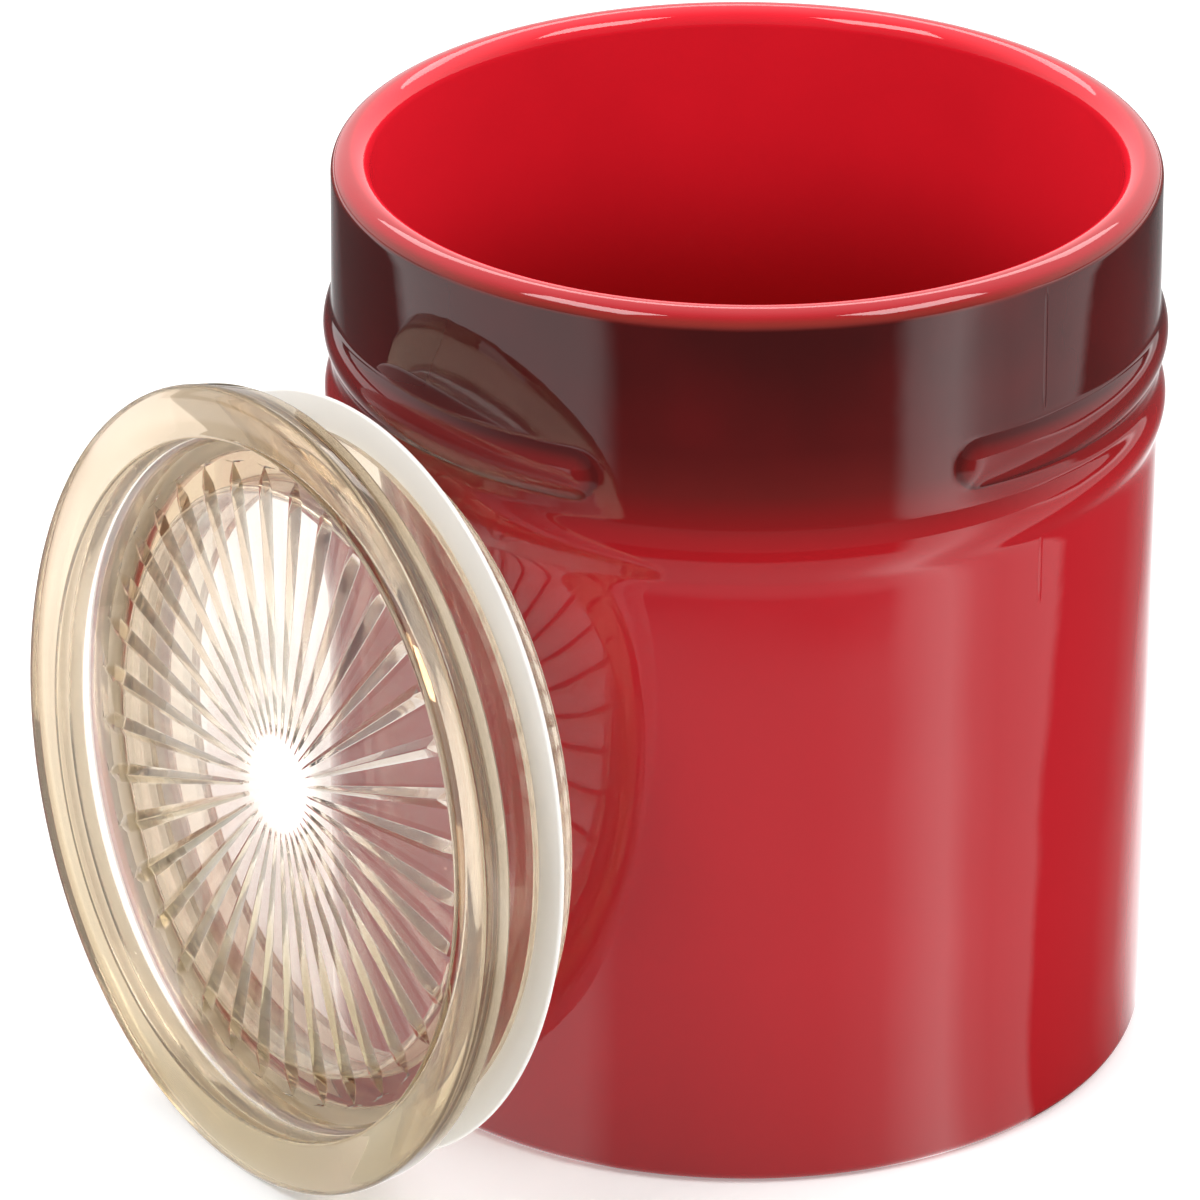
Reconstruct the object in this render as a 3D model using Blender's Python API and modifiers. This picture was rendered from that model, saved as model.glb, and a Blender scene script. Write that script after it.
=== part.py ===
# Red glazed stoneware canister with an amber pressed-glass lid leaning against its side.
#
# Frame: metres, +Z up. The origin is the middle of the canister's flat base, on the floor.
# -Y is the front. The lid stands on its edge on the front left and rests on the canister's neck.

from math import cos, pi, radians, sin, sqrt

import bmesh
import bpy
from mathutils import Matrix, Vector

MM = 0.001

# Canister, in millimetres
HEIGHT = 145.0
NECK_RADIUS = 63.5
LIP_RADIUS = 3.0             # the rim is a full round, twice this thick
BORE_RADIUS = NECK_RADIUS - 2 * LIP_RADIUS
NECK_SHOULDER_RADIUS = 63.75
NECK_FOOT_RADIUS = 63.95
BODY_TOP_RADIUS = 63.85
BODY_FOOT_RADIUS = 64.2
FOOT_ROUND = 2.0
FLOOR_THICKNESS = 7.0
BORE_FILLET = 9.0
NECK_STRAIGHT_END = 122.5    # height where the neck starts to widen
COLLAR_MIDDLE = 106.2
COLLAR_HALF_HEIGHT = 4.7
COLLAR_PROUD = 1.1
TURN_STEPS = 80              # facets round every turned piece
COLLAR_STEPS = 10

# The two thread ridges on the neck, level, with a plain gap between them
THREAD_HEIGHT = 117.1
THREAD_HALF_HEIGHT = 4.3
THREAD_PROUD = 1.25
THREAD_SUNK = 1.0            # how far the ridge's section reaches into the wall
THREAD_START = 29.0          # degrees from the front, towards +X
THREAD_END = 160.5
THREAD_POINTS = 30
THREAD_TIP_SCALE = 0.12      # size of the section where a ridge ends
THREAD_SIDES = 12

# Lid, in millimetres; depths run back from the ring's front face
RING_RADIUS = 62.25
RING_BACK_RADIUS = 61.8
RING_BORE = 54.0
RING_DEPTH = 5.2
RING_ROUND = 0.8
PLATE_FRONT = 5.9
PLATE_BACK = 8.2
DISH_FILLET = 1.5
SKIRT_RADIUS = 54.3
SKIRT_BORE = 45.8
SEAT_DEPTH = 15.5            # front wall of the gasket's groove
SEAT_RADIUS = 50.6
SEAT_WIDTH = 3.6
BEAD_RADIUS = 52.3           # the skirt below the groove
SKIRT_DEPTH = 23.4
SKIRT_ROUND = 1.3

# Pressed rays on the dish's floor
RAY_COUNT = 36
RAY_START = 6.0
RAY_SHOULDER = 46.7          # where the ray is widest and highest
RAY_TIP = 49.8
RAY_WIDTH_ANGLE = 4.0        # degrees
RAY_HEIGHT = 1.65
RAY_ROOT = 0.5

# Gasket, in millimetres
GASKET_LIP_RADIUS = 59.1
GASKET_LIP_THICKNESS = 0.8
GASKET_TAPER = 1.6           # the lip thickens this much towards its root
GAP = 0.3

# How the lid leans: the way its back faces, and the tilt of that axis below level
LID_HEADING = 37.12          # degrees from +X towards +Y
LID_LEAN = 5.05
LID_CENTRE = (-74.45, -55.42)  # the ring's front face, seen from above
FLOOR_CLEARANCE = 0.05


def arc(centre, radius, start, end, count):
    """Points of an arc in the profile plane, from one angle to the other, in degrees."""
    points = []
    for step in range(count + 1):
        angle = radians(start + (end - start) * step / count)
        points.append((centre[0] + radius * cos(angle), centre[1] + radius * sin(angle)))
    return points


def new_material(name, colour, roughness, transmission=0.0):
    material = bpy.data.materials.new(name)
    material.use_nodes = True
    shader = material.node_tree.nodes["Principled BSDF"]
    shader.inputs["Base Color"].default_value = (*colour, 1.0)
    shader.inputs["Roughness"].default_value = roughness
    shader.inputs["Metallic"].default_value = 0.0
    shader.inputs["Transmission Weight"].default_value = transmission
    return material


def turned(name, profile, collection, closed=False):
    """A body of revolution about Z from a profile in millimetres."""
    mesh = bpy.data.meshes.new(name)
    shape = bmesh.new()
    corners = [shape.verts.new((x * MM, 0.0, z * MM)) for x, z in profile]
    for first, second in zip(corners, corners[1:]):
        shape.edges.new((first, second))
    if closed:
        shape.edges.new((corners[-1], corners[0]))
    shape.to_mesh(mesh)
    shape.free()
    body = bpy.data.objects.new(name, mesh)
    collection.objects.link(body)
    screw = body.modifiers.new("turn", "SCREW")
    screw.axis = "Z"
    screw.steps = TURN_STEPS
    screw.render_steps = TURN_STEPS
    screw.use_merge_vertices = True
    screw.merge_threshold = 0.00001
    screw.use_normal_calculate = True
    return body


def apply_modifiers(body):
    """Replace the object's mesh by what its modifiers make of it."""
    graph = bpy.context.evaluated_depsgraph_get()
    graph.update()
    mesh = bpy.data.meshes.new_from_object(body.evaluated_get(graph))
    body.modifiers.clear()
    body.data = mesh


def shade(body, angle):
    body.data.shade_smooth()
    body.data.set_sharp_from_angle(angle=radians(angle))


def join(body, others):
    """Fuse a collection of solids into the body and remove them."""
    union = body.modifiers.new("fuse", "BOOLEAN")
    union.operation = "UNION"
    union.operand_type = "COLLECTION"
    union.collection = others
    union.solver = "EXACT"
    apply_modifiers(body)
    for other in list(others.objects):
        bpy.data.objects.remove(other)


def wall_radius(height):
    """Outer radius of the canister's wall at a height, without its threads."""
    collar_foot = COLLAR_MIDDLE - COLLAR_HALF_HEIGHT
    if height >= NECK_STRAIGHT_END:
        base = NECK_RADIUS + (NECK_SHOULDER_RADIUS - NECK_RADIUS) * (
            (HEIGHT - LIP_RADIUS - height) / (HEIGHT - LIP_RADIUS - NECK_STRAIGHT_END)
        )
    elif height >= collar_foot:
        share = (NECK_STRAIGHT_END - height) / (NECK_STRAIGHT_END - collar_foot)
        base = NECK_SHOULDER_RADIUS + (NECK_FOOT_RADIUS - NECK_SHOULDER_RADIUS) * share
    else:
        base = BODY_TOP_RADIUS + (BODY_FOOT_RADIUS - BODY_TOP_RADIUS) * (
            (collar_foot - height) / collar_foot
        )
    across = (height - COLLAR_MIDDLE) / COLLAR_HALF_HEIGHT
    bead = COLLAR_PROUD * max(0.0, 1.0 - across * across) ** 1.5
    return base + bead


def canister_profile():
    """Half section from the middle of the bore's floor, over the rim, down to the base."""
    fillet = (BORE_RADIUS - BORE_FILLET, FLOOR_THICKNESS + BORE_FILLET)
    points = [(0.0, FLOOR_THICKNESS)]
    points += arc(fillet, BORE_FILLET, -90, 0, 6)
    points += arc((NECK_RADIUS - LIP_RADIUS, HEIGHT - LIP_RADIUS), LIP_RADIUS, 180, 0, 12)
    points.append((wall_radius(NECK_STRAIGHT_END), NECK_STRAIGHT_END))
    for step in range(COLLAR_STEPS + 1):
        height = COLLAR_MIDDLE + COLLAR_HALF_HEIGHT * (1 - 2 * step / COLLAR_STEPS)
        points.append((wall_radius(height), height))
    middle = COLLAR_MIDDLE / 2
    points.append((wall_radius(middle), middle))
    points += arc((BODY_FOOT_RADIUS - FOOT_ROUND, FOOT_ROUND), FOOT_ROUND, 0, -90, 4)
    points.append((0.0, 0.0))
    return points


def thread_ridge(name, start, end, collection):
    """A level ridge round part of the neck: an oval section swept along an arc, with round ends."""
    oval = bpy.data.curves.new(name + "_section", "CURVE")
    oval.dimensions = "2D"
    outline = oval.splines.new("POLY")
    outline.points.add(THREAD_SIDES - 1)
    for index, point in enumerate(outline.points):
        angle = 2 * pi * index / THREAD_SIDES
        half_depth = (THREAD_PROUD + THREAD_SUNK) / 2
        point.co = (half_depth * cos(angle) * MM, THREAD_HALF_HEIGHT * sin(angle) * MM, 0, 1)
    outline.use_cyclic_u = True
    section = bpy.data.objects.new(name + "_section", oval)
    collection.objects.link(section)

    path = bpy.data.curves.new(name, "CURVE")
    path.dimensions = "3D"
    path.twist_mode = "Z_UP"
    path.bevel_mode = "OBJECT"
    path.bevel_object = section
    path.use_fill_caps = True
    line = path.splines.new("POLY")
    line.points.add(THREAD_POINTS - 1)
    radius = wall_radius(THREAD_HEIGHT) + (THREAD_PROUD - THREAD_SUNK) / 2
    round_off = THREAD_HALF_HEIGHT / radius
    for index, point in enumerate(line.points):
        # the stations crowd towards the two ends, where the ridge rounds off
        share = (1 - cos(pi * index / (THREAD_POINTS - 1))) / 2
        angle = radians(start) + share * radians(end - start)
        point.co = (radius * sin(angle) * MM, -radius * cos(angle) * MM, THREAD_HEIGHT * MM, 1)
        from_end = min(angle - radians(start), radians(end) - angle)
        inside = min(1.0, max(0.0, from_end / round_off))
        point.radius = max(THREAD_TIP_SCALE, sqrt(inside * (2 - inside)))
    sweep = bpy.data.objects.new(name, path)
    collection.objects.link(sweep)

    graph = bpy.context.evaluated_depsgraph_get()
    graph.update()
    mesh = bpy.data.meshes.new_from_object(sweep.evaluated_get(graph))
    bpy.data.objects.remove(sweep)
    bpy.data.objects.remove(section)
    shape = bmesh.new()
    shape.from_mesh(mesh)
    bmesh.ops.remove_doubles(shape, verts=shape.verts, dist=0.000001)
    bmesh.ops.recalc_face_normals(shape, faces=shape.faces)
    shape.to_mesh(mesh)
    shape.free()
    ridge = bpy.data.objects.new(name, mesh)
    collection.objects.link(ridge)
    return ridge


def make_canister(parts, tools):
    body = turned("canister", canister_profile(), parts)
    thread_ridge("thread_right", THREAD_START, THREAD_END, tools)
    thread_ridge("thread_left", THREAD_START + 180, THREAD_END + 180, tools)
    join(body, tools)
    shade(body, 30)
    body.data.materials.clear()
    body.data.materials.append(new_material("red_glaze", (0.45, 0.012, 0.016), 0.08))
    return body


def lid_profile():
    """Half section from the middle of the dish, round the ring and the skirt, to the plate's back.

    The lid is turned with its front face up, at height 0, so depths are negative heights."""
    points = [(0.0, -PLATE_FRONT)]
    dish_corner = (RING_BORE - DISH_FILLET, -PLATE_FRONT + DISH_FILLET)
    points += arc(dish_corner, DISH_FILLET, -90, 0, 3)
    points += arc((RING_BORE + RING_ROUND, -RING_ROUND), RING_ROUND, 180, 90, 2)
    points += arc((RING_RADIUS - RING_ROUND, -RING_ROUND), RING_ROUND, 90, 0, 2)
    points += arc((RING_BACK_RADIUS - RING_ROUND, RING_ROUND - RING_DEPTH), RING_ROUND, 0, -90, 2)
    points.append((SKIRT_RADIUS, -RING_DEPTH))
    points.append((SKIRT_RADIUS, -SEAT_DEPTH))
    points.append((SEAT_RADIUS, -SEAT_DEPTH))
    points.append((SEAT_RADIUS, -SEAT_DEPTH - SEAT_WIDTH))
    points.append((BEAD_RADIUS, -SEAT_DEPTH - SEAT_WIDTH))
    bottom = SKIRT_ROUND - SKIRT_DEPTH
    points += arc((BEAD_RADIUS - SKIRT_ROUND, bottom), SKIRT_ROUND, 0, -90, 3)
    points += arc((SKIRT_BORE + SKIRT_ROUND, bottom), SKIRT_ROUND, -90, -180, 3)
    points.append((SKIRT_BORE, -PLATE_BACK))
    points.append((0.0, -PLATE_BACK))
    return points


def ray(name, collection):
    """One raised ray of the dish, along +X: it grows from a point to a sharp spearhead."""
    half_width = RAY_SHOULDER * radians(RAY_WIDTH_ANGLE) / 2
    outline = [(RAY_START, 0), (RAY_SHOULDER, half_width), (RAY_TIP, 0), (RAY_SHOULDER, -half_width)]
    shape = bmesh.new()
    for x, y in outline:
        shape.verts.new((x * MM, y * MM, -PLATE_FRONT * MM))
        shape.verts.new((x * MM, y * MM, -(PLATE_FRONT + RAY_ROOT) * MM))
    shape.verts.new((RAY_SHOULDER * MM, 0.0, (RAY_HEIGHT - PLATE_FRONT) * MM))
    bmesh.ops.convex_hull(shape, input=shape.verts)
    bmesh.ops.recalc_face_normals(shape, faces=shape.faces)
    mesh = bpy.data.meshes.new(name)
    shape.to_mesh(mesh)
    shape.free()
    return mesh


def lid_placement():
    """The lid's place: its own +Z, the front of the lid, looks away from the canister."""
    heading, lean = radians(LID_HEADING), radians(LID_LEAN)
    front = -Vector((cos(heading) * cos(lean), sin(heading) * cos(lean), -sin(lean)))
    level = Vector((sin(heading), -cos(heading), 0.0))
    upright = front.cross(level)
    turn = Matrix((level, upright, front)).transposed().to_4x4()
    # the lowest of the ring's front and back corners stands on the floor
    front_corner = (RING_RADIUS - RING_ROUND) * upright.z + RING_ROUND * front.z + RING_ROUND
    back_depth = RING_DEPTH - RING_ROUND
    back_corner = (RING_BACK_RADIUS - RING_ROUND) * upright.z + back_depth * front.z + RING_ROUND
    height = max(front_corner, back_corner) + FLOOR_CLEARANCE
    return Matrix.Translation(Vector((*LID_CENTRE, height)) * MM) @ turn


def make_lid(parts, tools, place):
    body = turned("lid", lid_profile(), parts)
    mesh = ray("ray", tools)
    for index in range(RAY_COUNT):
        copy = bpy.data.objects.new("ray_%02d" % index, mesh)
        copy.rotation_euler = (0.0, 0.0, 2 * pi * index / RAY_COUNT)
        tools.objects.link(copy)
    join(body, tools)
    shade(body, 30)
    body.data.materials.clear()
    body.data.materials.append(new_material("amber_glass", (0.78, 0.62, 0.42), 0.03, 0.9))
    body.matrix_world = place
    return body


def gasket_profile():
    """Closed section of the seal: a root in the groove and a thin lip that reaches outwards."""
    root = SEAT_RADIUS + GAP
    front = -SEAT_DEPTH - GAP
    back = -SEAT_DEPTH - SEAT_WIDTH + GAP
    tip = GASKET_LIP_RADIUS - GASKET_LIP_THICKNESS / 2
    lip_middle = front - GASKET_LIP_THICKNESS / 2
    points = [(root, front)]
    points += arc((tip, lip_middle), GASKET_LIP_THICKNESS / 2, 90, -90, 4)
    points.append((BEAD_RADIUS + GASKET_TAPER, front - GASKET_TAPER))
    points.append((BEAD_RADIUS, back))
    points.append((root, back))
    return points


def make_gasket(parts, place):
    body = turned("gasket", gasket_profile(), parts, closed=True)
    apply_modifiers(body)
    shade(body, 40)
    body.data.materials.clear()
    body.data.materials.append(new_material("white_silicone", (0.68, 0.65, 0.58), 0.45))
    body.matrix_world = place
    return body


def main():
    for old in list(bpy.data.objects):
        bpy.data.objects.remove(old)
    parts = bpy.data.collections.new("ceramic_canister")
    tools = bpy.data.collections.new("tools")
    bpy.context.scene.collection.children.link(parts)
    bpy.context.scene.collection.children.link(tools)
    place = lid_placement()
    make_canister(parts, tools)
    make_lid(parts, tools, place)
    make_gasket(parts, place)


main()
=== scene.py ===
from math import atan2, cos, degrees, hypot, pi, radians, sin

import bmesh
import bpy
from mathutils import Matrix, Vector


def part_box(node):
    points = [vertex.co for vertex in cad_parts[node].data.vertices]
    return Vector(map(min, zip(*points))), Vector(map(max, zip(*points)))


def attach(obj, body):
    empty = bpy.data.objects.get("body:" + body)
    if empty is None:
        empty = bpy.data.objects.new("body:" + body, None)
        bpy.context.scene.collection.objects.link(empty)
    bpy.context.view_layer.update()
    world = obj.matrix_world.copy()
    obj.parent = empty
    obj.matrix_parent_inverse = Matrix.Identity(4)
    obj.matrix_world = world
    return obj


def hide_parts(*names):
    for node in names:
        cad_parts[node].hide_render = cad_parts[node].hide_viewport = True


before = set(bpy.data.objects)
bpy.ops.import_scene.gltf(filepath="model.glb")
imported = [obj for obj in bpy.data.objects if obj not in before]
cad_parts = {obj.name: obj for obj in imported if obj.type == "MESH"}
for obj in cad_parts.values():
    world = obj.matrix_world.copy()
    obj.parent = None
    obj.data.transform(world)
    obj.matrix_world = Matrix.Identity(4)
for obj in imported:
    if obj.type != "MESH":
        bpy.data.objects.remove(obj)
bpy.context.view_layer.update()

MM = 0.001
SAME_POINT = 1e-6

# Canister
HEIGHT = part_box("canister")[1][2] / MM
NECK_RADIUS = 63.5
LIP_RADIUS = 3.0
BORE_RADIUS = NECK_RADIUS - 2 * LIP_RADIUS
NECK_SHOULDER_RADIUS = 63.75
NECK_FOOT_RADIUS = 63.95
BODY_TOP_RADIUS = 63.85
BODY_FOOT_RADIUS = 64.2
FOOT_ROUND = 2.0
FLOOR_THICKNESS = 7.0
BORE_FILLET = 9.0
NECK_STRAIGHT_END = 122.5
COLLAR_MIDDLE = 106.2
COLLAR_HALF_HEIGHT = 4.7
COLLAR_PROUD = 1.1
COLLAR_SWELL = 1.5
WALL_COLUMN = 0.8

# Thread ridges on the neck, one on each side, and the two mould seams
THREAD_HEIGHT = 117.1
THREAD_HALF_HEIGHT = 4.3
THREAD_PROUD = 1.25
THREAD_SWELL = 1.2
THREAD_START = 29.0
THREAD_END = 160.5
SEAM_AZIMUTH = 44.0
SEAM_HALF_WIDTH = 0.38
SEAM_PROUD = 0.16
SEAM_STRETCHES = ((122.8, 142.0), (91.0, 101.2))
SEAM_FADE = 1.6
SEAM_WINDOW = 1.2
SEAM_COLUMNS = 16

# Lid, with depths that run back from the ring's front face
RING_RADIUS = 62.25
RING_BACK_RADIUS = 61.8
RING_BORE = 54.0
RING_DEPTH = 5.2
RING_ROUND = 0.8
RING_CROWN = 0.6
PLATE_FRONT = 5.9
PLATE_BACK = 8.2
DISH_FILLET = 1.5
RING_FOOT_FILLET = 0.5
SKIRT_RADIUS = 54.3
SKIRT_BORE = 45.8
SKIRT_FILLET = 1.3
SEAT_DEPTH = 15.5
SEAT_RADIUS = 50.6
SEAT_WIDTH = 3.6
SEAT_FILLET = 0.3
EDGE_ROUND = 0.4
BEAD_RADIUS = 52.3
SKIRT_DEPTH = 23.4
SKIRT_ROUND = 1.3

# Pressed rays on the dish's floor
RAY_COUNT = 36
RAY_START = 6.8
RAY_FULL = 11.0
RAY_CREST_END = 44.5
RAY_SHOULDER = 46.7
RAY_TIP = 49.8
RAY_SWEEP_START = 38.0
RAY_HALF_ANGLE = 2.15
RAY_HEIGHT = 1.2
CREST_ROUND = 0.05
RAY_SHARES = (0.0, 0.05, 0.11, 0.5, 0.94, 1.0)
RAY_BORDER = 0.12
COLUMN = 0.625
RAYS_END = 51.0
FLOOR_MIDDLE = 3.0
FLOOR_ROWS = (14.0, 19.0, 25.0, 31.0)
CREST_ROWS = (-3.0, -0.6, -0.2, 0.0, 0.2, 0.6)
SHOULDER_ROW = 1.8
TIP_ROW = 0.4
TIP_BORDER = 0.15
NEAR = 0.1

# Gasket
GASKET_COLUMNS = 288
GASKET_LIP_RADIUS = 59.1
GASKET_LIP_THICKNESS = 0.8
GASKET_TAPER = 1.6
GASKET_HOLLOW = 0.5
GASKET_FILLET = 0.6
GASKET_BEVEL = (0.2, 0.4)
LIP_OVERLAP = 1.0
GAP = 0.3

# How the lid leans: the way its back faces, and the tilt of that axis below level
LID_HEADING = 37.12
LID_LEAN = 5.05
LID_CENTRE = (-74.45, -55.42)
FLOOR_CLEARANCE = 0.05


def arc(centre, radius, start, end, count):
    """Points of an arc in the profile plane, from one angle to the other, in degrees."""
    points = []
    for step in range(count + 1):
        angle = radians(start + (end - start) * step / count)
        points.append((centre[0] + radius * cos(angle), centre[1] + radius * sin(angle)))
    return points


def evenly(first, last, count):
    """Values from first to last in count equal steps."""
    return [first + (last - first) * step / count for step in range(count + 1)]


def smooth(value, low, high):
    """0 below low, 1 above high, and a smooth rise between them."""
    share = min(1.0, max(0.0, (value - low) / (high - low)))
    return share * share * (3 - 2 * share)


def start_profile(shape, points, azimuth, closed=False):
    """Vertices and edges of a profile, stood at one azimuth; returns them as geometry."""
    place = radians(azimuth)
    corners = [shape.verts.new((r * sin(place), -r * cos(place), z)) for r, z in points]
    if closed:
        corners.append(corners[0])
    edges = [shape.edges.new(pair) for pair in zip(corners, corners[1:])]
    return list(shape.verts) + edges


def spin_on(shape, geometry, turn, steps):
    """Turn the geometry on about Z by so many degrees; returns the last ring of it."""
    made = bmesh.ops.spin(shape, geom=geometry, cent=(0, 0, 0), axis=(0, 0, 1),
                          angle=radians(turn), steps=steps, use_merge=False)
    return made["geom_last"]


def close_up(shape):
    """Join what meets, and turn every face outwards."""
    bmesh.ops.remove_doubles(shape, verts=shape.verts, dist=SAME_POINT / MM)
    bmesh.ops.recalc_face_normals(shape, faces=shape.faces)


def finish_piece(name, shape, material, node, place=None):
    """The finished object: in metres, in its place, smooth, and standing for its node."""
    bmesh.ops.scale(shape, vec=(MM, MM, MM), verts=shape.verts)
    if place:
        bmesh.ops.transform(shape, matrix=place, verts=shape.verts)
    mesh = bpy.data.meshes.new(name)
    shape.to_mesh(mesh)
    shape.free()
    mesh.shade_smooth()
    mesh.materials.append(material)
    piece = bpy.data.objects.new(name, mesh)
    bpy.context.scene.collection.objects.link(piece)
    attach(piece, "root")
    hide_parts(node)
    return piece


class Wire:
    """A socket in a material; arithmetic on wires adds the Math nodes."""

    def __init__(self, tree, socket):
        self.tree = tree
        self.socket = socket

    def node(self, kind, settings, sockets, output=0):
        """Any node: its type, its settings, then the values or wires of its sockets."""
        node = self.tree.nodes.new(kind)
        for name, value in settings.items():
            if name == "stops":
                set_stops(node.color_ramp, value)
            else:
                setattr(node, name, value)
        for name, value in sockets.items():
            if isinstance(value, Wire):
                self.tree.links.new(value.socket, node.inputs[name])
            else:
                node.inputs[name].default_value = value
        return Wire(self.tree, node.outputs[output])

    def math(self, operation, *values):
        settings = {"operation": operation}
        return self.node("ShaderNodeMath", settings, dict(enumerate(values)))

    def __add__(self, other):
        return self.math("ADD", self, other)

    def __sub__(self, other):
        return self.math("SUBTRACT", self, other)

    def __rsub__(self, other):
        return self.math("SUBTRACT", other, self)

    def __mul__(self, other):
        return self.math("MULTIPLY", self, other)

    def __truediv__(self, other):
        return self.math("DIVIDE", self, other)

    def __rtruediv__(self, other):
        return self.math("DIVIDE", other, self)

    def __pow__(self, other):
        return self.math("POWER", self, other)

    __radd__ = __add__
    __rmul__ = __mul__

    def between(self, low, high):
        """0 below low, 1 above high, with a smooth rise."""
        ends = {"Value": self, "From Min": low, "From Max": high}
        settings = {"interpolation_type": "SMOOTHSTEP"}
        return self.node("ShaderNodeMapRange", settings, ends)

    def rise(self, span):
        """As between, with the two ends given as a pair in millimetres."""
        return self.between(span[0] * MM, span[1] * MM)

    def split(self):
        """The three parts of a vector."""
        parts = self.node("ShaderNodeSeparateXYZ", {}, {0: self}).socket.node.outputs
        return [Wire(self.tree, part) for part in parts]

    def noise(self, scale, detail=0.0):
        sockets = {"Vector": self, "Scale": scale, "Detail": detail}
        return self.node("ShaderNodeTexNoise", {}, sockets)

    def ramp(self, stops):
        settings = {"stops": stops}
        return self.node("ShaderNodeValToRGB", settings, {0: self})

    def mix(self, first, second):
        """A colour from first to second, as this wire goes from 0 to 1."""
        settings = {"data_type": "RGBA"}
        first, second = (end if isinstance(end, Wire) else (*end, 1.0) for end in (first, second))
        sockets = {0: self, 6: first, 7: second}
        return self.node("ShaderNodeMix", settings, sockets, output=2)

    def bump(self, distance):
        return self.node("ShaderNodeBump", {}, {"Height": self, "Distance": distance})


def set_stops(ramp, stops):
    """Put the stops, pairs of a position and a colour, on a colour ramp."""
    while len(ramp.elements) < len(stops):
        ramp.elements.new(1.0)
    for element, (position, colour) in zip(ramp.elements, stops):
        element.position = position
        element.color = (*colour, 1.0)


def new_material(name):
    """An empty Principled material: its shader and a wire with the object's coordinates."""
    material = bpy.data.materials.new(name)
    material.use_nodes = True
    tree = material.node_tree
    shader = tree.nodes["Principled BSDF"]
    coordinates = tree.nodes.new("ShaderNodeTexCoord")
    return material, shader, Wire(tree, coordinates.outputs["Object"])


def plug(shader, sockets):
    """Constants and wires into the shader's sockets."""
    for name, value in sockets.items():
        if isinstance(value, Wire):
            value.tree.links.new(value.socket, shader.inputs[name])
        else:
            shader.inputs[name].default_value = value


# Glaze: its colours, and the heights and depths in millimetres where one melts into the next
GLAZE_RED = (0.435, 0.010, 0.017)
GLAZE_DEEP_RED = (0.37, 0.008, 0.012)
GLAZE_INSIDE = (0.88, 0.018, 0.036)
# painted shade: the bore's colour low down, darker where less light reaches inside
GLAZE_INSIDE_SHADE = (0.36, 0.006, 0.008)
GLAZE_BREAK = (0.24, 0.020, 0.014)
GLAZE_CHERRY = (0.22, 0.009, 0.010)
GLAZE_WINE = (0.115, 0.010, 0.009)
GLAZE_MAROON = (0.062, 0.0062, 0.0058)
GLAZE_NECK = (0.046, 0.0050, 0.0050)
GLAZE_UP_THE_WALL = (
    (0.00, GLAZE_DEEP_RED), (0.25, GLAZE_RED), (0.69, GLAZE_RED), (0.735, GLAZE_DEEP_RED),
    (0.765, GLAZE_CHERRY), (0.80, GLAZE_WINE), (0.85, GLAZE_MAROON), (0.965, GLAZE_NECK),
)
THREADS_FROM = (111.0, 112.5)
THREADS_TO = (121.5, 123.0)
# the span, as height out of the wall, where painted shade lies in the creases at the thread ridges'
# feet
CREASE_FROM = (0.02, 0.12)
CREASE_TO = (0.25, 0.6)
RIDGE_TOP = (0.4, 1.1)
LIP_BREAK = (142.0, 143.2)
LIP_RED = (143.1, 144.4)
INSIDE_LIT = (92.0, 128.0)
MIDDLE_OF_LIP = (59.0, 61.0)
RIDGE_CHERRY = 0.55
# strength of the painted shade in the thread creases
CREASE_SHADE = 0.6
CLOUD_DEPTH = 0.14
PEEL = 0.06
MELT = 0.02

# In metres: how far the lip's lines wander, and the height of the glaze's waves
WOBBLE = 0.0008
GLAZE_WAVES = 0.00012


def red_glaze():
    """Glossy glaze: red on the body and inside, melting to dark maroon on the neck."""
    material, shader, place = new_material("red_glaze")
    x, y, z = place.split()
    radius = (x * x + y * y) ** 0.5
    drift = place.noise(34.0, 2.0) - 0.5
    outside = (z / (HEIGHT * MM) + drift * MELT).ramp(GLAZE_UP_THE_WALL)
    # the thread ridges are a lighter cherry red, and the creases at their feet are painted darker:
    # painted shade
    slope = NECK_FOOT_RADIUS - NECK_SHOULDER_RADIUS
    slope /= NECK_STRAIGHT_END - COLLAR_MIDDLE + COLLAR_HALF_HEIGHT
    relief = radius - (THREAD_HEIGHT * MM - z) * slope - wall_radius(THREAD_HEIGHT) * MM
    on_neck = z.rise(THREADS_FROM) * (1.0 - z.rise(THREADS_TO))
    crease_shade = on_neck * relief.rise(CREASE_FROM) * (1.0 - relief.rise(CREASE_TO))
    ridge = on_neck * relief.rise(RIDGE_TOP)
    outside = (ridge * RIDGE_CHERRY).mix(outside, GLAZE_CHERRY)
    outside = (crease_shade * CREASE_SHADE).mix(outside, GLAZE_NECK)
    # on the lip it breaks to a brown line, and is red again above it
    wobble = z + drift * WOBBLE
    outside = wobble.rise(LIP_BREAK).mix(outside, GLAZE_BREAK)
    outside = wobble.rise(LIP_RED).mix(outside, GLAZE_RED)
    # inside, the glaze is painted darker lower down the bore: painted shade
    inner = z.rise(INSIDE_LIT).mix(GLAZE_INSIDE_SHADE, GLAZE_INSIDE)
    colour = (1.0 - radius.rise(MIDDLE_OF_LIP)).mix(outside, inner)
    clouds = drift.between(-0.15, 0.3)
    waves = place.noise(70.0) + place.noise(420.0) * PEEL
    plug(shader, {
        "Base Color": (clouds * CLOUD_DEPTH).mix(colour, GLAZE_DEEP_RED),
        "Roughness": 0.025 + clouds * 0.03,
        "IOR": 1.5,
        "Normal": waves.bump(GLAZE_WAVES),
    })
    return material


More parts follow.
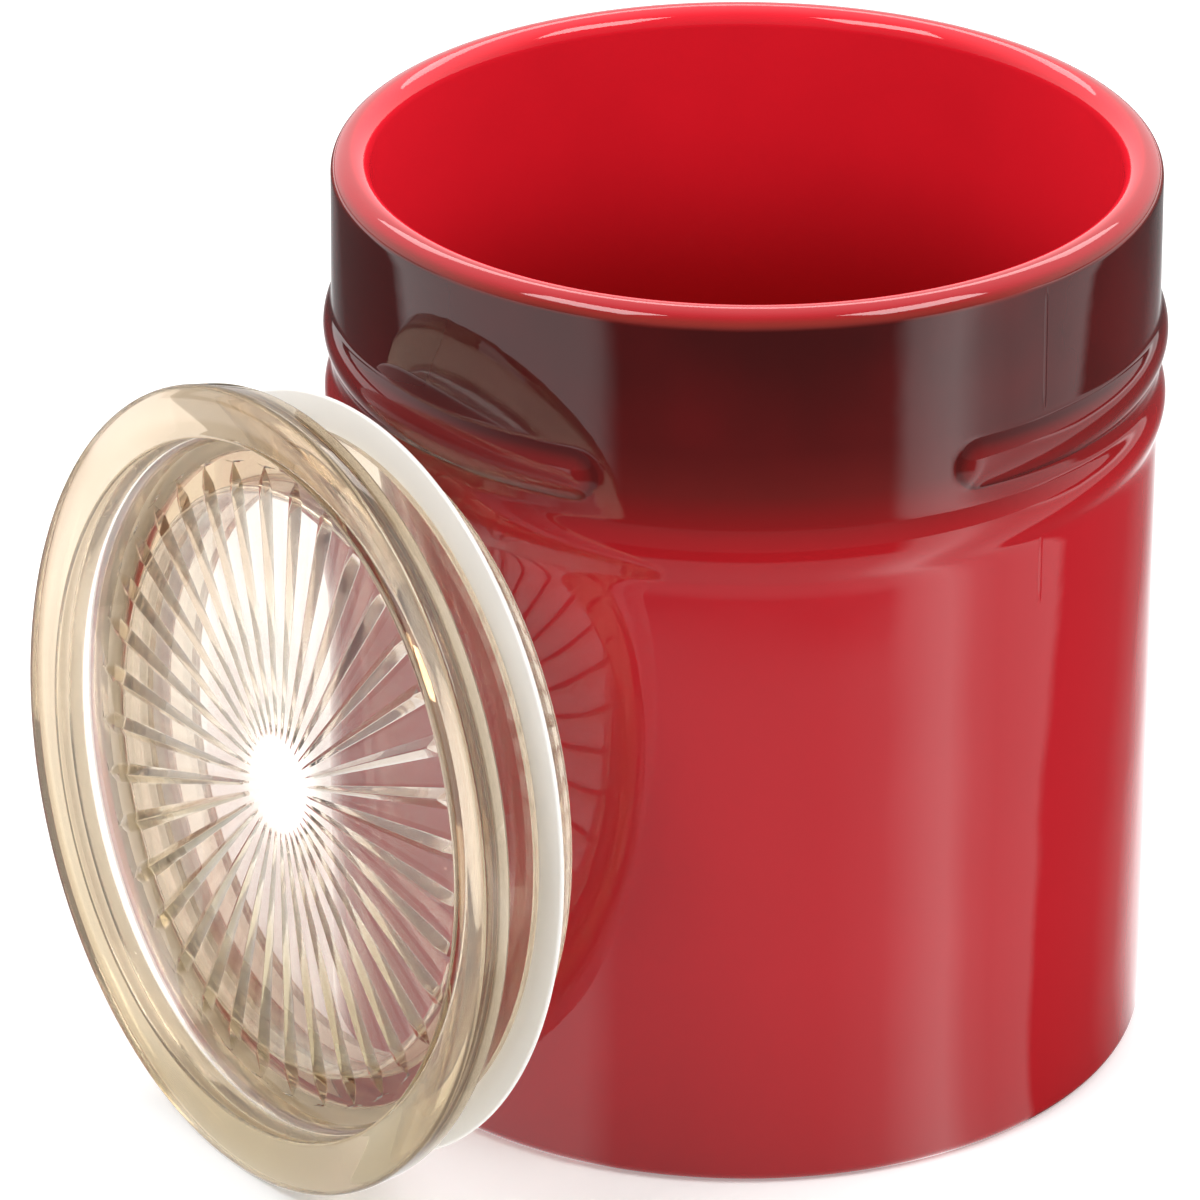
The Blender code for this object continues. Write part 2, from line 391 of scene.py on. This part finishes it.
# Glass: its colours, and where its rays, ring and middle lie, in millimetres on the lid.
# GLASS_WAVES is a height in metres, and AMBER_DENSITY is per metre.
GLASS_CLEAR = (0.995, 0.985, 0.965)
GLASS_HAZY = (0.975, 0.955, 0.92)
# painted shade and painted light: the rays and ring are tinted darker than the plate, olive low down
# and brown higher up where the red canister shows through; the ring's side gets painted shade
RAY_PAINTED_OLIVE = (0.66, 0.63, 0.45)
RAY_PAINTED_BROWN = (0.71, 0.62, 0.54)
RING_PAINTED_OLIVE = (0.82, 0.76, 0.55)
RING_PAINTED_BROWN = (0.86, 0.75, 0.64)
RING_STREAK = (0.50, 0.41, 0.29)
RING_SIDE_SHADE = (0.30, 0.24, 0.16)
AMBER_DEPTH = (0.67, 0.48, 0.17)
AMBER_DENSITY = 56.0
OLIVE_TO_BROWN = (-50.0, 25.0)
RAY_FOOT = (0.05 - PLATE_FRONT, 0.4 - PLATE_FRONT)
RAYS_EDGE = (50.4, 51.2)
RING_EDGE = (53.6, 54.6)
RING_BACK = (-5.6, -5.0)
SIDE_EDGE = (61.2, 62.0)
MIDDLE_EDGE = (7.0, 14.0)
STREAKS = 0.4
GLASS_WAVES = 0.00009


def amber_glass(place_of_lid):
    """Pressed glass, amber in its depth, so thick parts are darker; its rays and ring are painted
    darker, olive low down and brown higher up where the red canister shows through, and the ring's
    side gets painted shade.
    """
    material, shader, place = new_material("amber_glass")
    inward = place_of_lid.inverted()
    centred = {"Vector": place, "Location": inward.to_translation(), "Rotation": inward.to_euler()}
    place = place.node("ShaderNodeMapping", {"vector_type": "POINT"}, centred)
    x, y, z = place.split()
    radius = (x * x + y * y) ** 0.5
    haze = place.noise(45.0)
    # painted light: the tint turns brown higher up the lid, standing in for the red canister behind it
    canister_light = y.rise(OLIVE_TO_BROWN)
    rays = z.rise(RAY_FOOT) * (1.0 - radius.rise(RAYS_EDGE))
    ring = radius.rise(RING_EDGE) * z.rise(RING_BACK)
    # painted shade on the ring's outer side
    side = radius.rise(SIDE_EDGE) * z.rise(RING_BACK)
    middle = 1.0 - radius.rise(MIDDLE_EDGE)
    colour = rays.mix(haze.mix(GLASS_CLEAR, GLASS_HAZY), canister_light.mix(RAY_PAINTED_OLIVE, RAY_PAINTED_BROWN))
    ring_painted_tint = (haze * STREAKS).mix(canister_light.mix(RING_PAINTED_OLIVE, RING_PAINTED_BROWN), RING_STREAK)
    colour = side.mix(ring.mix(colour, ring_painted_tint), RING_SIDE_SHADE)
    # some light passes straight on, which softens what the facets bend
    plug(shader, {
        "Base Color": colour,
        "Roughness": 0.0,
        "IOR": 1.5,
        "Transmission Weight": 1.0,
        "Alpha": 0.8 + rays * 0.1 + ring * 0.1 + middle * 0.2,
        "Normal": place.noise(55.0).bump(GLASS_WAVES),
    })
    tint = place.tree.nodes.new("ShaderNodeVolumeAbsorption")
    tint.inputs["Color"].default_value = (*AMBER_DEPTH, 1.0)
    tint.inputs["Density"].default_value = AMBER_DENSITY
    output = place.tree.nodes["Material Output"]
    place.tree.links.new(tint.outputs[0], output.inputs["Volume"])
    return material


# Silicone: its colours, and the height of its grain in metres
SILICONE_SHADE = (0.91, 0.90, 0.87)
SILICONE_LIGHT = (0.97, 0.96, 0.93)
SILICONE_GRAIN = 0.00001


def white_silicone():
    """Soft off-white seal."""
    material, shader, place = new_material("white_silicone")
    grain = place.noise(900.0)
    plug(shader, {
        "Base Color": place.noise(60.0, 2.0).mix(SILICONE_SHADE, SILICONE_LIGHT),
        "Roughness": 0.34 + grain * 0.12,
        "Normal": grain.bump(SILICONE_GRAIN),
    })
    return material


def wall_radius(height):
    """Outer radius of the canister's wall at a height, without its threads."""
    collar_foot = COLLAR_MIDDLE - COLLAR_HALF_HEIGHT
    straight_top = HEIGHT - LIP_RADIUS
    if height >= NECK_STRAIGHT_END:
        share = (straight_top - height) / (straight_top - NECK_STRAIGHT_END)
        base = NECK_RADIUS + (NECK_SHOULDER_RADIUS - NECK_RADIUS) * share
    elif height >= collar_foot:
        share = (NECK_STRAIGHT_END - height) / (NECK_STRAIGHT_END - collar_foot)
        base = NECK_SHOULDER_RADIUS + (NECK_FOOT_RADIUS - NECK_SHOULDER_RADIUS) * share
    else:
        share = (collar_foot - height) / collar_foot
        base = BODY_TOP_RADIUS + (BODY_FOOT_RADIUS - BODY_TOP_RADIUS) * share
    across = (height - COLLAR_MIDDLE) / COLLAR_HALF_HEIGHT
    return base + COLLAR_PROUD * max(0.0, 1.0 - across * across) ** COLLAR_SWELL


def canister_profile():
    """Half section from the middle of the bore's floor, over the rim, down to the base."""
    fillet = (BORE_RADIUS - BORE_FILLET, FLOOR_THICKNESS + BORE_FILLET)
    rim_centre = (NECK_RADIUS - LIP_RADIUS, HEIGHT - LIP_RADIUS)
    foot_centre = (BODY_FOOT_RADIUS - FOOT_ROUND, FOOT_ROUND)
    collar_foot = COLLAR_MIDDLE - COLLAR_HALF_HEIGHT
    points = [(r, FLOOR_THICKNESS) for r in evenly(0.0, fillet[0], 6)[:-1]]
    points += arc(fillet, BORE_FILLET, -90, 0, 12)
    points += [(BORE_RADIUS, z) for z in evenly(fillet[1], rim_centre[1], 8)[1:-1]]
    points += arc(rim_centre, LIP_RADIUS, 180, 0, 24)
    heights = evenly(rim_centre[1], NECK_STRAIGHT_END, 12)[1:]
    heights += evenly(NECK_STRAIGHT_END, collar_foot, 46)[1:]
    heights += evenly(collar_foot, SEAM_STRETCHES[1][0] - SEAM_FADE, 10)[1:]
    heights += evenly(SEAM_STRETCHES[1][0] - SEAM_FADE, FOOT_ROUND, 14)[1:-1]
    points += [(wall_radius(height), height) for height in heights]
    points += arc(foot_centre, FOOT_ROUND, 0, -90, 10)
    points += [(r, 0.0) for r in evenly(foot_centre[0], 0.0, 5)[1:]]
    return points


def thread_relief(azimuth, height):
    """How far a thread ridge stands out of the wall: a low rounded bar with round ends."""
    relief = 0.0
    for turn in (0, 180):
        along = (azimuth - turn) % 360
        middle = (THREAD_START + THREAD_END) / 2
        beyond = abs(along - middle) - (THREAD_END - THREAD_START) / 2
        beyond = radians(beyond) * NECK_SHOULDER_RADIUS + THREAD_HALF_HEIGHT
        across = hypot(max(0.0, beyond), height - THREAD_HEIGHT) / THREAD_HALF_HEIGHT
        relief += THREAD_PROUD * max(0.0, 1.0 - across * across) ** THREAD_SWELL
    return relief


def seam_relief(azimuth, height):
    """The fine mould seam: a vertical hairline that shows on two stretches of the wall."""
    relief = 0.0
    aside = radians((azimuth - SEAM_AZIMUTH + 90) % 180 - 90) * NECK_RADIUS
    for low, high in SEAM_STRETCHES:
        shown = smooth(height, low, low + SEAM_FADE) * (1 - smooth(height, high - SEAM_FADE, high))
        relief += shown * SEAM_PROUD * (1 - smooth(abs(aside), 0.0, SEAM_HALF_WIDTH))
    return relief


def make_canister():
    """The canister: its section turned round, then the threads and seams raised on its wall."""
    shape = bmesh.new()
    last = start_profile(shape, canister_profile(), 0)
    reached = 0
    for seam in (SEAM_AZIMUTH, SEAM_AZIMUTH + 180):
        before = seam - SEAM_WINDOW - reached
        last = spin_on(shape, last, before, round(before / WALL_COLUMN))
        last = spin_on(shape, last, 2 * SEAM_WINDOW, SEAM_COLUMNS)
        reached = seam + SEAM_WINDOW
    rest = 360 - reached
    spin_on(shape, last, rest, round(rest / WALL_COLUMN))
    close_up(shape)
    for vertex in shape.verts:
        radius = hypot(vertex.co.x, vertex.co.y)
        if radius < BORE_RADIUS + LIP_RADIUS:
            continue
        azimuth = degrees(atan2(vertex.co.x, -vertex.co.y)) % 360
        grow = thread_relief(azimuth, vertex.co.z) + seam_relief(azimuth, vertex.co.z)
        vertex.co.x *= 1 + grow / radius
        vertex.co.y *= 1 + grow / radius
    return finish_piece("glazed_canister", shape, red_glaze(), "canister")


def lid_profile():
    """Half section of the lid, front face up: over the dish and ring, round the skirt, to the back."""
    radii = [0.0, FLOOR_MIDDLE] + evenly(RAY_START, RAY_FULL, 4) + [*FLOOR_ROWS, RAY_SWEEP_START]
    radii += [RAY_CREST_END + step for step in CREST_ROWS]
    radii += evenly(RAY_CREST_END + SHOULDER_ROW, RAY_TIP - TIP_ROW, 2)
    radii += [RAY_TIP, RAY_TIP + TIP_BORDER, RAYS_END]
    points = [(radius, -PLATE_FRONT) for radius in radii]
    corner = (RING_BORE - DISH_FILLET, DISH_FILLET - PLATE_FRONT)
    points += arc(corner, DISH_FILLET, -90, 0, 8)
    points += arc((RING_BORE + RING_ROUND, -RING_ROUND), RING_ROUND, 180, 95, 6)
    middle = (RING_BORE + RING_RADIUS) / 2
    half = (RING_RADIUS - RING_BORE) / 2 - RING_ROUND
    for across in evenly(-1.0, 1.0, 10)[1:-1]:
        points += [(middle + across * half, RING_CROWN * (1 - across * across))]
    points += arc((RING_RADIUS - RING_ROUND, -RING_ROUND), RING_ROUND, 85, 0, 6)
    points += arc((RING_BACK_RADIUS - RING_ROUND, RING_ROUND - RING_DEPTH), RING_ROUND, 0, -90, 6)
    foot = (SKIRT_RADIUS + RING_FOOT_FILLET, -RING_DEPTH - RING_FOOT_FILLET)
    points += arc(foot, RING_FOOT_FILLET, 90, 180, 4)
    points += arc((SKIRT_RADIUS - EDGE_ROUND, EDGE_ROUND - SEAT_DEPTH), EDGE_ROUND, 0, -90, 4)
    seat_back = -SEAT_DEPTH - SEAT_WIDTH
    points += arc((SEAT_RADIUS + SEAT_FILLET, -SEAT_DEPTH - SEAT_FILLET), SEAT_FILLET, 90, 180, 3)
    points += arc((SEAT_RADIUS + SEAT_FILLET, seat_back + SEAT_FILLET), SEAT_FILLET, 180, 270, 3)
    points += arc((BEAD_RADIUS - EDGE_ROUND, seat_back - EDGE_ROUND), EDGE_ROUND, 90, 0, 4)
    bottom = SKIRT_ROUND - SKIRT_DEPTH
    points += arc((BEAD_RADIUS - SKIRT_ROUND, bottom), SKIRT_ROUND, 0, -90, 7)
    points += arc((SKIRT_BORE + SKIRT_ROUND, bottom), SKIRT_ROUND, -90, -180, 7)
    inner = (SKIRT_BORE - SKIRT_FILLET, -PLATE_BACK - SKIRT_FILLET)
    points += arc(inner, SKIRT_FILLET, 0, 90, 7)
    points += [(radius, -PLATE_BACK) for radius in evenly(inner[0], 0.0, 5)[1:]]
    return points


def raise_ray(vertex):
    """Lift a vertex of the dish's floor onto its ray: a roof that ends in two flat tip facets.

    The columns are even at the dish's edge; here they close up on the ray's crest and edges.
    """
    radius = hypot(vertex.co.x, vertex.co.y)
    angle = degrees(atan2(vertex.co.x, -vertex.co.y))
    if radius > RAY_TIP + SAME_POINT or radius < RAY_START:
        return
    half = 180 / RAY_COUNT
    column = round(abs(angle) / COLUMN)
    taper = min(1.0, (RAY_TIP - radius) / (RAY_TIP - RAY_CREST_END))
    edge = RAY_HALF_ANGLE * taper
    if column < len(RAY_SHARES):
        share = RAY_SHARES[column]
        out = share
        side = edge * share
        peak = (1 + CREST_ROUND ** 2) ** 0.5
        roof = (peak - (share ** 2 + CREST_ROUND ** 2) ** 0.5) / (peak - CREST_ROUND)
        crest = RAY_HEIGHT * min(radius / RAY_CREST_END, taper) * smooth(radius, RAY_START, RAY_FULL)
        vertex.co.z += crest * max(0.0, roof)
    else:
        beyond = (column - len(RAY_SHARES)) / (round(half / COLUMN) - len(RAY_SHARES))
        side = edge + RAY_BORDER + (half - edge - RAY_BORDER) * beyond
        out = 1.0 - beyond
    # the rows lean out from the crest's end to the shoulders, along the edges of the tip facets
    sweep = taper * min(1.0, max(0.0, (radius - RAY_SWEEP_START) / (RAY_CREST_END - RAY_SWEEP_START)))
    reach = radius + (RAY_SHOULDER - RAY_CREST_END) * sweep * out
    turned = radians(side if angle > 0 else -side)
    vertex.co.x = reach * sin(turned)
    vertex.co.y = -reach * cos(turned)


def lid_placement():
    """The lid's place: its own +Z, the front of the lid, looks away from the canister."""
    heading, lean = radians(LID_HEADING), radians(LID_LEAN)
    front = -Vector((cos(heading) * cos(lean), sin(heading) * cos(lean), -sin(lean)))
    level = Vector((sin(heading), -cos(heading), 0.0))
    upright = front.cross(level)
    turn = Matrix((level, upright, front)).transposed().to_4x4()
    front_corner = (RING_RADIUS - RING_ROUND) * upright.z + RING_ROUND * front.z + RING_ROUND
    back_depth = RING_DEPTH - RING_ROUND
    back_corner = (RING_BACK_RADIUS - RING_ROUND) * upright.z + back_depth * front.z + RING_ROUND
    height = max(front_corner, back_corner) + FLOOR_CLEARANCE
    return Matrix.Translation(Vector((*LID_CENTRE, height)) * MM) @ turn


def make_lid(place):
    """The lid: one ray's share of it, repeated all round; the rays' facets are shaded flat."""
    shape = bmesh.new()
    share = 360 / RAY_COUNT
    last = start_profile(shape, lid_profile(), -share / 2)
    spin_on(shape, last, share, round(share / COLUMN))
    for vertex in shape.verts:
        if abs(vertex.co.z + PLATE_FRONT) < SAME_POINT / MM:
            raise_ray(vertex)
    wedge = shape.verts[:] + shape.edges[:] + shape.faces[:]
    bmesh.ops.spin(shape, geom=wedge, cent=(0, 0, 0), axis=(0, 0, 1), angle=radians(360 - share),
                   steps=RAY_COUNT - 1, use_duplicate=True)
    close_up(shape)
    piece = finish_piece("glass_lid", shape, amber_glass(place), "lid", place)
    rays = piece.vertex_groups.new(name="rays")
    inward = place.inverted()
    for vertex in piece.data.vertices:
        spot = inward @ vertex.co / MM
        if hypot(spot.x, spot.y) < RAYS_END - NEAR and spot.z > -PLATE_FRONT - NEAR:
            rays.add([vertex.index], 1.0, "REPLACE")
    flats = piece.modifiers.new("flat facets", "WEIGHTED_NORMAL")
    flats.weight = 100
    flats.vertex_group = rays.name
    return piece


def gasket_profile():
    """Closed section of the seal: a root in the groove and a thin lip that reaches outwards."""
    root = SEAT_RADIUS + GAP
    front = -SEAT_DEPTH - GAP
    back = GAP - SEAT_DEPTH - SEAT_WIDTH
    half = GASKET_LIP_THICKNESS / 2
    points = [(root, front), (BEAD_RADIUS, front), (SKIRT_RADIUS + LIP_OVERLAP, front)]
    points += arc((GASKET_LIP_RADIUS - half, front - half), half, 90, -90, 8)
    reach = GASKET_TAPER + GASKET_HOLLOW
    points += arc((BEAD_RADIUS + reach, front - reach), GASKET_FILLET, 80, 150, 4)
    in_by, up_by = GASKET_BEVEL
    points += [(BEAD_RADIUS, back + up_by), (BEAD_RADIUS - in_by, back), (root, back)]
    return points


def make_gasket(place):
    """The seal, turned round in the lid's seat."""
    shape = bmesh.new()
    last = start_profile(shape, gasket_profile(), 0, closed=True)
    spin_on(shape, last, 360, GASKET_COLUMNS)
    close_up(shape)
    return finish_piece("silicone_gasket", shape, white_silicone(), "gasket", place)


# Studio: lengths in metres, angles in degrees
STAGE_SIZE = 4.0
FLOOR_DROP = 0.0001
FLOOR_SHADE = (0.86, 0.86, 0.855)
FLOOR_LIGHT = (0.90, 0.90, 0.895)
FLOOR_GLOW = 0.25
CAMERA_PLACE = (0.0, -0.98698, 0.55093)
CAMERA_PITCH = 63.93
CAMERA_YAW = 1.30
CAMERA_LENS = 209.7
SENSOR_WIDTH = 36.0
ROOM_GLOW = (0.25, 0.25, 0.25)
BACKDROP_GLOW = (1.3, 1.3, 1.3)

# Softboxes: azimuth, elevation, size and brightness
SOFTBOX_DISTANCE = 1.5
SOFTBOXES = {
    "softbox_left": (-52, 52, (0.7, 0.5), 8.0),
    "softbox_right": (58, 52, (0.7, 0.5), 8.0),
    "softbox_back": (180, 48, (1.6, 0.35), 4.0),
}

# What the gloss mirrors from the table round the canister: a painted reflection of panels and flags,
# laid out as a fan.
# Each stop is the azimuth on the wall that mirrors it, and its brightness.
GLOW_PEAK = 2.3
TABLE_GLOW = (
    (-90, 1.4), (-82, 0.9), (-76, 0.35), (-68, 0.1), (-50, 0.1), (-47, 1.3), (-22, 1.4),
    (-17, 0.65), (12, 0.65), (20, 0.9), (27, 2.0), (30, 2.3), (34, 1.2), (38, 0.9), (47, 1.0),
    (49, 0.1), (66, 0.12), (76, 0.35), (83, 0.9), (90, 1.4),
)

# The fan turns in at its sides, and is dark ahead of the canister from some way off
FAN_SIDES = (36.0, 50.0)
FAN_TURN = 0.65
FAN_TURN_FROM = 0.17
FRONT_AZIMUTH = 1.5
FRONT_EDGE = (0.225, 0.30)
FRONT_HALF_WIDTH = (18.0, 22.0)
FRONT_SHADE = 0.88


def flat_disc(name, height, material):
    """A level disc under the canister, as stage."""
    shape = bmesh.new()
    bmesh.ops.create_circle(shape, cap_ends=True, segments=64, radius=STAGE_SIZE / 2)
    bmesh.ops.translate(shape, vec=(0, 0, height), verts=shape.verts)
    mesh = bpy.data.meshes.new(name)
    shape.to_mesh(mesh)
    shape.free()
    mesh.materials.append(material)
    disc = bpy.data.objects.new(name, mesh)
    bpy.context.scene.collection.objects.link(disc)
    return disc


def make_floor():
    """The pale table top."""
    material, shader, place = new_material("pale_floor")
    plug(shader, {
        "Base Color": place.noise(3.0, 1.0).mix(FLOOR_SHADE, FLOOR_LIGHT),
        "Roughness": 0.6,
        "Specular IOR Level": 0.2,
        "Emission Color": (1.0, 1.0, 1.0, 1.0),
        "Emission Strength": FLOOR_GLOW,
    })
    material.cycles.emission_sampling = "NONE"
    flat_disc("floor", -FLOOR_DROP, material)


def make_table_glow():
    """A painted reflection: light and dark fields on a glowing disc over the table, which only
    reflections see.
    """
    material, shader, place = new_material("table_glow")
    x, y, _ = place.split()
    distance = (x * x + y * y) ** 0.5
    direction = x.math("ARCTAN2", x, y * -1.0) * degrees(1.0)
    mirror = direction / (2.0 - NECK_RADIUS * MM / distance)
    aside = mirror.math("ABSOLUTE", mirror).between(*FAN_SIDES)
    mirror = mirror * (1.0 - (distance - FAN_TURN_FROM) * aside * FAN_TURN)
    stops = [((azimuth + 90) / 180, (glow / GLOW_PEAK,) * 3) for azimuth, glow in TABLE_GLOW]
    glow = ((mirror + 90.0) / 180.0).ramp(stops)
    ahead = 1.0 - mirror.math("ABSOLUTE", mirror - FRONT_AZIMUTH).between(*FRONT_HALF_WIDTH)
    shade = ahead * distance.between(*FRONT_EDGE)
    glow = (shade * FRONT_SHADE).mix(glow, (0.0, 0.0, 0.0))
    plug(shader, {
        "Base Color": (0.0, 0.0, 0.0, 1.0),
        "Specular IOR Level": 0.0,
        "Emission Color": glow,
        "Emission Strength": GLOW_PEAK,
    })
    material.cycles.emission_sampling = "NONE"
    disc = flat_disc("table_glow", -FLOOR_DROP / 2, material)
    disc.visible_camera = False
    disc.visible_diffuse = False
    disc.visible_transmission = False
    disc.visible_volume_scatter = False
    disc.visible_shadow = False


def add_softbox(name, azimuth, elevation, size, glow):
    """A rectangular softbox that faces the canister, with its brightness."""
    light = bpy.data.lights.new(name, "AREA")
    light.shape = "RECTANGLE"
    light.size, light.size_y = size
    light.energy = glow * pi * size[0] * size[1]
    box = bpy.data.objects.new(name, light)
    level = SOFTBOX_DISTANCE * cos(radians(elevation))
    place = Vector((level * sin(radians(azimuth)), -level * cos(radians(azimuth)),
                    SOFTBOX_DISTANCE * sin(radians(elevation))))
    box.location = place
    box.rotation_euler = (-place).to_track_quat("-Z", "Y").to_euler()
    box.visible_camera = False
    bpy.context.scene.collection.objects.link(box)


def add_camera():
    """The camera at the photo's viewing angle."""
    data = bpy.data.cameras.new("camera")
    data.lens = CAMERA_LENS
    data.sensor_width = SENSOR_WIDTH
    data.clip_start = 0.05
    camera = bpy.data.objects.new("camera", data)
    camera.location = CAMERA_PLACE
    camera.rotation_euler = (radians(CAMERA_PITCH), 0.0, radians(CAMERA_YAW))
    bpy.context.scene.collection.objects.link(camera)
    bpy.context.scene.camera = camera


def light_scene():
    """The pale room, brighter behind the canister, and its softboxes."""
    world = bpy.data.worlds.new("studio")
    world.use_nodes = True
    tree = world.node_tree
    direction = Wire(tree, tree.nodes.new("ShaderNodeTexCoord").outputs["Generated"])
    _, behind, _ = direction.split()
    colour = behind.between(-0.6, 0.4).mix(ROOM_GLOW, BACKDROP_GLOW)
    plug(tree.nodes["Background"], {"Color": colour, "Strength": 1.0})
    bpy.context.scene.world = world
    for name, softbox in SOFTBOXES.items():
        add_softbox(name, *softbox)
    bpy.context.scene.view_settings.view_transform = "Standard"


make_canister()
lid_place = lid_placement()
make_lid(lid_place)
make_gasket(lid_place)
make_floor()
make_table_glow()
light_scene()
add_camera()
